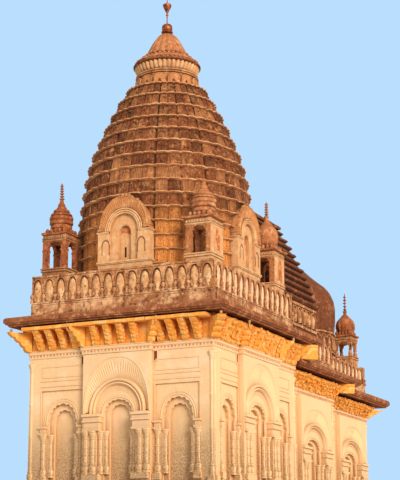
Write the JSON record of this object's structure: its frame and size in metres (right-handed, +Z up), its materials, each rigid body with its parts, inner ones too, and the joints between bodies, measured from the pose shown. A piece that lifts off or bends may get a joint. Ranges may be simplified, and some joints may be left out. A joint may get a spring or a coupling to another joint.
{
  "type": "hindu temple",
  "caption": "Brick and plaster temple: walled sanctum under a tall banded tower, middle hall under a stepped roof, front hall under a ribbed dome.",
  "frame": {"origin": "on the ground, below the middle of the bounding box of the whole building", "axes": "+Z up, +Y along the axis towards the entrance, -Y the rear face of the sanctum, +X across"},
  "size_m": [10.3668, 24.1204, 25],
  "materials": {
    "plaster": "matt limewashed plaster with dust and damp stains",
    "ochre_plaster": "matt ochre plaster",
    "eave_stone": "rough dark stone",
    "weathered_plaster": "worn plaster over brick",
    "parapet_plaster": "peeling plaster with dark stains",
    "tower_stucco": "brown weathered stucco",
    "golden_stucco": "warm yellow stucco",
    "kiosk_plaster": "weathered plaster with rust red stains",
    "dark_stucco": "dark brown weathered stucco",
    "copper": "aged copper"
  },
  "bodies": {
    "root": {"sanctum_rear_wall": "plaster", "sanctum_left_wall": "plaster", "sanctum_right_wall": "plaster", "sanctum_front_beam": "plaster", "mandapa_left_wall": "plaster", "mandapa_right_wall": "plaster", "mandapa_front_beam": "plaster", "hall_left_wall": "plaster", "hall_right_wall": "plaster", "hall_front_wall_left": "plaster", "hall_front_wall_right": "plaster", "hall_front_wall_over_door": "plaster", "sanctum_rear_brackets": "ochre_plaster", "sanctum_left_brackets": "ochre_plaster", "sanctum_right_brackets": "ochre_plaster", "mandapa_left_brackets": "ochre_plaster", "mandapa_right_brackets": "ochre_plaster", "hall_left_brackets": "ochre_plaster", "hall_right_brackets": "ochre_plaster", "hall_front_brackets": "ochre_plaster", "sanctum_eave": "eave_stone", "mandapa_eave": "eave_stone", "hall_eave": "eave_stone", "plinth": "weathered_plaster", "entrance_steps": "weathered_plaster", "sanctum_rear_parapet": "parapet_plaster", "sanctum_front_parapet": "parapet_plaster", "sanctum_left_parapet": "parapet_plaster", "sanctum_right_parapet": "parapet_plaster", "mandapa_left_parapet": "parapet_plaster", "mandapa_right_parapet": "parapet_plaster", "hall_left_parapet": "parapet_plaster", "hall_right_parapet": "parapet_plaster", "hall_front_parapet": "parapet_plaster", "tower": "tower_stucco", "tower_neck": "tower_stucco", "tower_bell_cap": "tower_stucco", "tower_amalaka": "golden_stucco", "rear_aedicule": "golden_stucco", "front_aedicule": "golden_stucco", "left_aedicule": "golden_stucco", "right_aedicule": "golden_stucco", "rear_left_chhatri": "kiosk_plaster", "rear_right_chhatri": "kiosk_plaster", "front_left_chhatri": "kiosk_plaster", "front_right_chhatri": "kiosk_plaster", "hall_left_chhatri": "kiosk_plaster", "hall_right_chhatri": "kiosk_plaster", "mandapa_roof_base": "dark_stucco", "mandapa_stepped_roof": "dark_stucco", "hall_dome_drum": "dark_stucco", "hall_dome": "dark_stucco", "tower_finial": "copper"}
  },
  "joints": []
}
